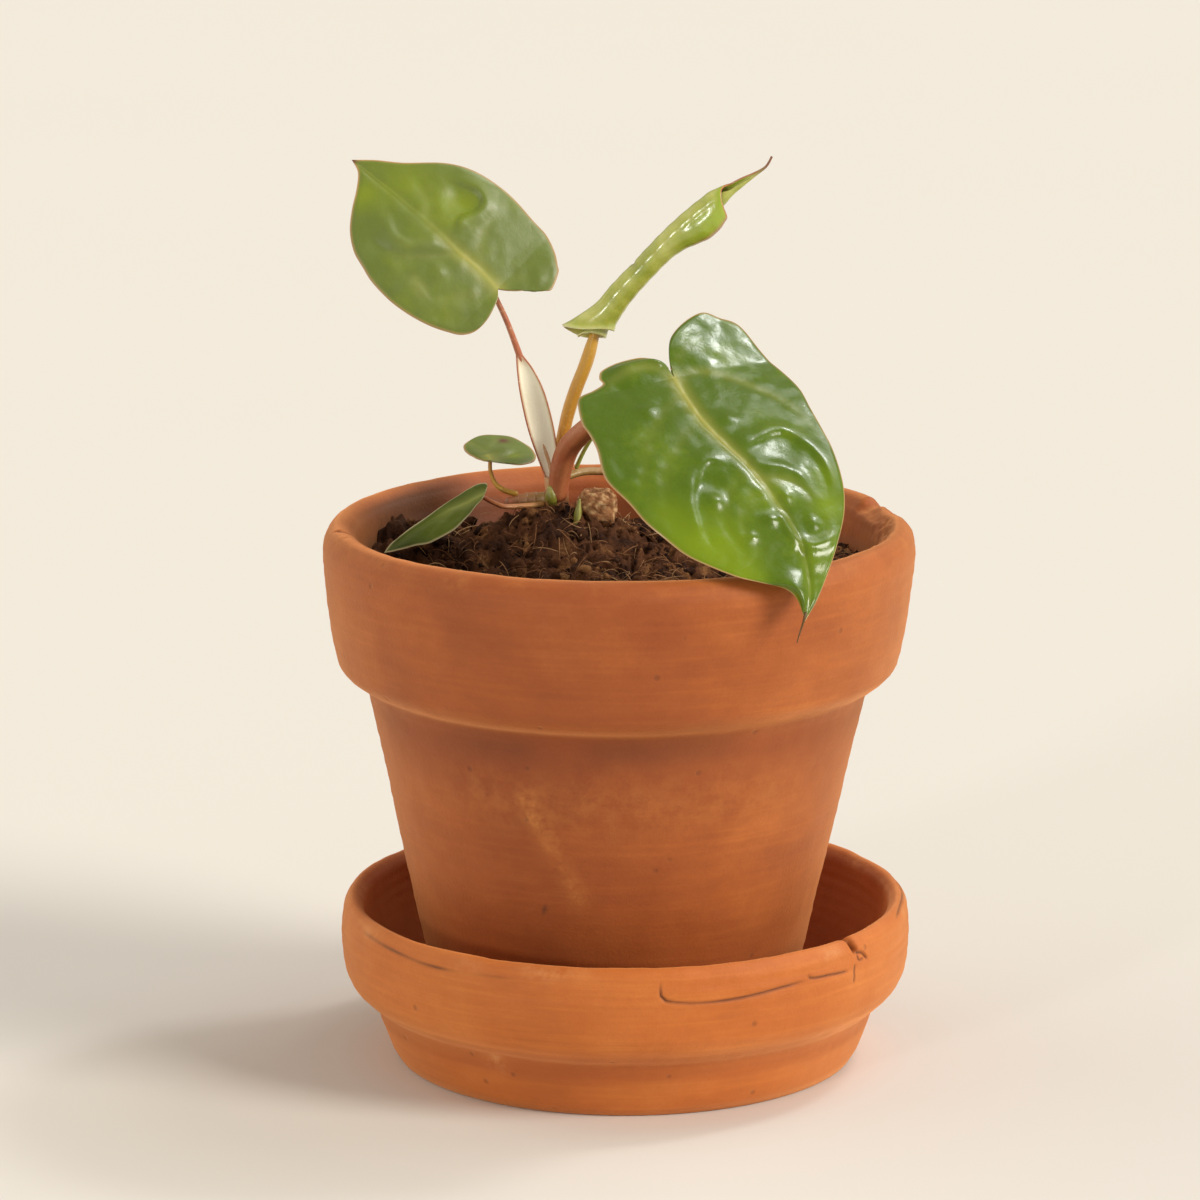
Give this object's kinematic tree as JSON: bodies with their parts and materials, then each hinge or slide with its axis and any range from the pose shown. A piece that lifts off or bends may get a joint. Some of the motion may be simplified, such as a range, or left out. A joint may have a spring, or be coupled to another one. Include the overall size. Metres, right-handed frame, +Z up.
{
  "type": "potted philodendron billietiae",
  "caption": "Young philodendron with heart-shaped leaves and a rolled new leaf, growing from soil in a collared clay pot that stands in a round clay saucer.",
  "frame": {"origin": "centre of the saucer's flat underside, on the surface that it stands on", "axes": "+Z up, -Y towards the viewer of the picture, +X to the viewer's right"},
  "size_m": [0.1298, 0.1298, 0.1989],
  "materials": {
    "saucer_clay": "unglazed, matt",
    "pot_clay": "unglazed, matt, stained",
    "soil": "crumbly, matt",
    "coir": "fibrous, matt",
    "stem": "smooth, satin",
    "young_green": "smooth, satin",
    "stalk": "smooth, satin",
    "front_leaf": "waxy, glossy, quilted",
    "red_petiole": "smooth, satin",
    "upper_leaf": "waxy, semi-gloss",
    "pale_petiole": "smooth, satin",
    "rolled_leaf": "waxy, glossy",
    "yellow_petiole": "smooth, satin",
    "small_leaf": "waxy, semi-gloss"
  },
  "bodies": {
    "root": {"saucer": "saucer_clay", "pot": "pot_clay", "soil": "soil", "coir_lump": "coir", "stem": "stem", "bud": "young_green", "sprout": "young_green", "side_stalk": "stalk", "thin_stalk": "young_green", "front_leaf_blade": "front_leaf", "front_leaf_petiole": "red_petiole", "upper_leaf_blade": "upper_leaf", "upper_leaf_petiole": "pale_petiole", "new_leaf_roll": "rolled_leaf", "new_leaf_petiole": "yellow_petiole", "low_leaf_blade": "small_leaf", "low_leaf_petiole": "yellow_petiole", "back_leaf_blade": "small_leaf", "back_leaf_petiole": "yellow_petiole"}
  },
  "joints": []
}
